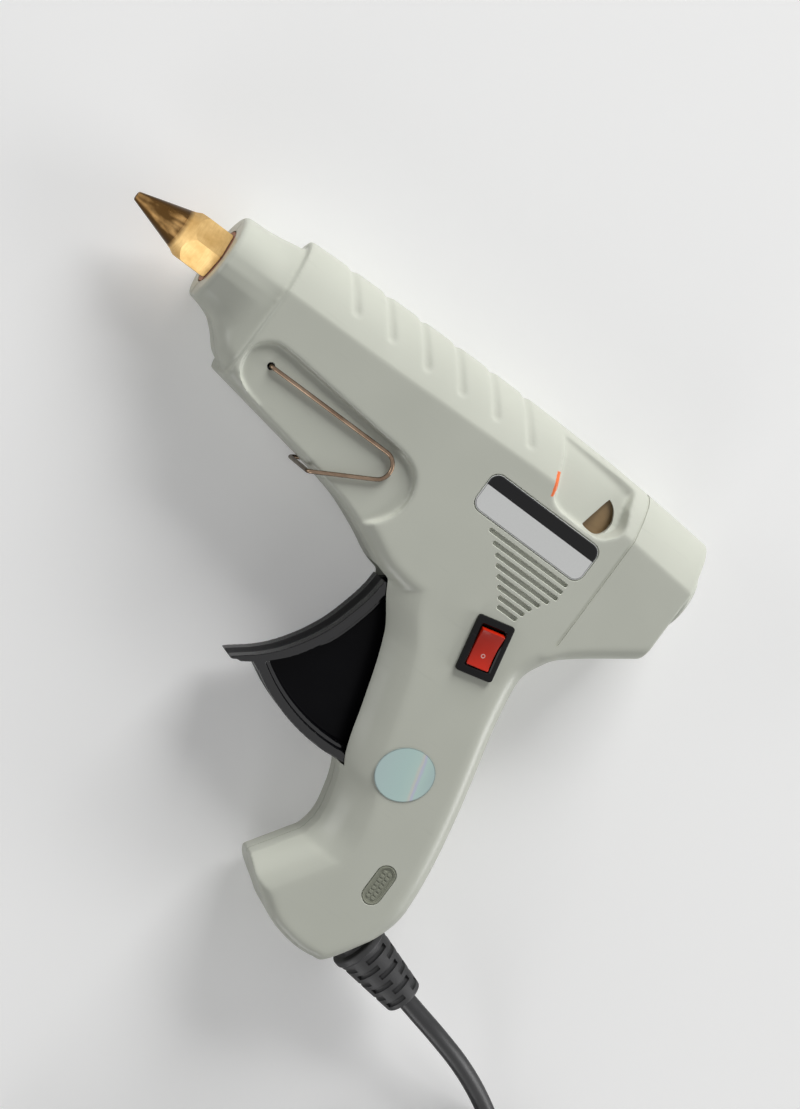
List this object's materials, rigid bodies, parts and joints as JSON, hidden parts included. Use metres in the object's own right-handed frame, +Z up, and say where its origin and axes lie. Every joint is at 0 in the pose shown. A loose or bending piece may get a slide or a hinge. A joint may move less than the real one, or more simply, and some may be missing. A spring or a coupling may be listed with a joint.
{
  "type": "hot glue gun",
  "caption": "Pistol-shaped hot glue gun lying on its side, with brass nozzle, fan-shaped trigger, folding wire stand, rocker switch and a coiled cord to a 12 V accessory plug.",
  "frame": {"origin": "on the surface that the tool lies on, under the middle of its box, cord and plug left out", "axes": "+X along the barrel from the nozzle to the glue stick's entry, +Y from the handle to the crown of the barrel, +Z up out of the switch side"},
  "size_m": [0.2938, 0.2893, 0.0323],
  "materials": {
    "case_plastic": "satin, pale warm grey",
    "collar_plastic": "satin, pale grey",
    "brass": "machined",
    "gasket_fibre": "matt",
    "cast_aluminium": "as cast",
    "heater_foil": "amber film",
    "spring_steel": "bright",
    "silicone": "matt",
    "guide_plastic": "satin, brown",
    "black_plastic": "fine texture",
    "carriage_plastic": "satin",
    "pin_steel": "ground",
    "screw_steel": "zinc plated",
    "stand_wire": "bright drawn wire",
    "red_plastic": "gloss, bright red",
    "label": "bare plate, dark band above",
    "sticker": "bare, pale green blue",
    "insert": "satin",
    "boot_rubber": "matt",
    "cord_sheath": "satin",
    "lead_red": "satin",
    "lead_blue": "satin",
    "lead_white": "satin"
  },
  "bodies": {
    "case": {"left_shell": "case_plastic", "right_shell": "case_plastic", "rear_collar": "collar_plastic", "brass_nozzle": "brass", "switch_terminal_1": "brass", "switch_terminal_2": "brass", "front_gasket": "gasket_fibre", "heating_chamber": "cast_aluminium", "ptc_heater": "heater_foil", "heater_clip": "spring_steel", "sleeve_clamp": "spring_steel", "return_spring": "spring_steel", "inlet_sleeve": "silicone", "stick_guide": "guide_plastic", "switch_frame": "black_plastic", "cord_clamp": "black_plastic", "plug_body": "black_plastic", "plug_nose": "black_plastic", "trigger_pin": "pin_steel", "plug_contact_1": "pin_steel", "plug_contact_2": "pin_steel", "case_screw_1": "screw_steel", "case_screw_2": "screw_steel", "case_screw_3": "screw_steel", "case_screw_4": "screw_steel", "case_screw_5": "screw_steel", "case_screw_6": "screw_steel", "case_screw_7": "screw_steel", "clamp_screw_1": "screw_steel", "clamp_screw_2": "screw_steel", "label_plate": "label", "round_sticker": "sticker", "oval_insert": "insert", "strain_relief": "boot_rubber", "inner_cord": "cord_sheath", "cord_lead": "cord_sheath", "cord_coil": "cord_sheath", "cord_tail": "cord_sheath", "wire_live": "lead_red", "wire_neutral": "lead_blue", "wire_heater": "lead_white"},
    "trigger": {"trigger": "black_plastic"},
    "carriage": {"feed_carriage": "carriage_plastic", "feed_pin": "pin_steel", "pawl_pin": "pin_steel"},
    "pawl": {"grip_pawl": "pin_steel"},
    "rocker": {"switch_rocker": "red_plastic"},
    "stand": {"wire_stand": "stand_wire"},
    "plug_pin": {"plug_pin": "pin_steel"}
  },
  "joints": [
    {"name": "trigger_pull", "type": "hinge", "parent": "case", "child": "trigger", "pos_m": [0.03177, 0.02313, 0.0145], "axis": [0, 0, 1], "range_deg": [0, 20], "stiffness_Nm_per_rad": 0.8, "springref_deg": -11.46},
    {"name": "feed_slide", "type": "slide", "parent": "case", "child": "carriage", "axis": [-1, 0, 0], "range_m": [0, 0.0095], "deforming": ["return_spring"]},
    {"name": "pawl_tip", "type": "hinge", "parent": "carriage", "child": "pawl", "pos_m": [0.03627, 0.07175, 0.0145], "axis": [0, 0, 1], "range_deg": [0, 4.2]},
    {"name": "rocker_tilt", "type": "hinge", "parent": "case", "child": "rocker", "pos_m": [0.0497, 0.01885, 0.0284], "axis": [-0.9751, -0.2215, 0], "range_deg": [0, 18]},
    {"name": "stand_swing", "type": "hinge", "parent": "case", "child": "stand", "pos_m": [-0.04515, 0.046, 0.0145], "axis": [0, 0, 1], "range_deg": [-45, 0]},
    {"name": "plug_pin_push", "type": "slide", "parent": "case", "child": "plug_pin", "axis": [1, 0, 0], "range_m": [0, 0.002], "stiffness_N_per_m": 800, "springref_m": -0.002}
  ],
  "couplings": [
    {"joint": "feed_slide", "follows": "trigger_pull", "m_per_rad": 0.0265},
    {"joint": "pawl_tip", "follows": "trigger_pull", "ratio": 0.2}
  ]
}
